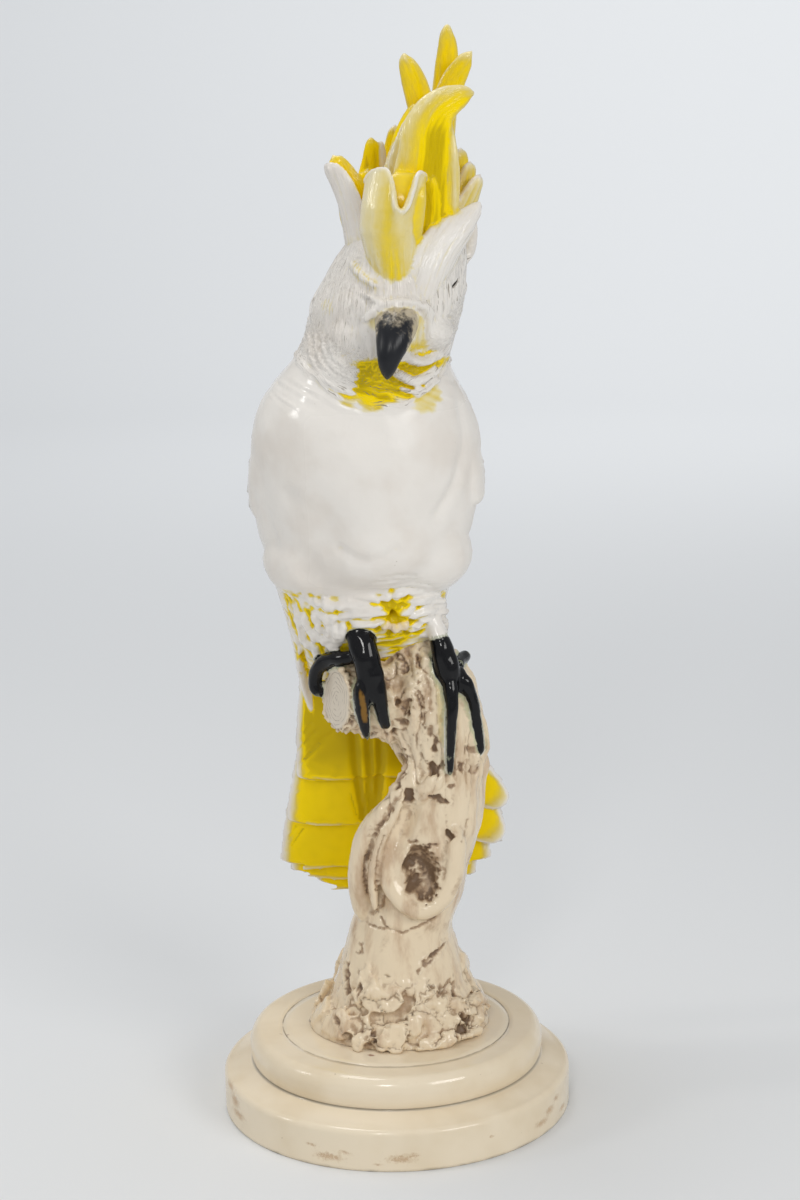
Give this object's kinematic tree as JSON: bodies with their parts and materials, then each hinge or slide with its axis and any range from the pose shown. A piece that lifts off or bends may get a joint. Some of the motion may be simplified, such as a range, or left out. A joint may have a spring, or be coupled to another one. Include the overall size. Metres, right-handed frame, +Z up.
{
  "type": "ceramic cockatoo sculpture",
  "caption": "Life-size glazed ceramic cockatoo with a raised yellow crest, perched on a gnarled tree trunk on a round stepped plinth.",
  "frame": {"origin": "centre of the plinth's underside", "axes": "+Z up from the plinth to the crest; the bird faces -Y; +X to the right of someone who faces the bird"},
  "size_m": [0.2, 0.2, 0.6068],
  "materials": {
    "plinth_glaze": "satin cream glaze with scuffs",
    "figure_glaze": "glossy glazes: white bird, yellow crest and tail, black feet and beak, cream trunk"
  },
  "bodies": {
    "root": {"plinth": "plinth_glaze", "cockatoo_on_trunk": "figure_glaze"}
  },
  "joints": []
}
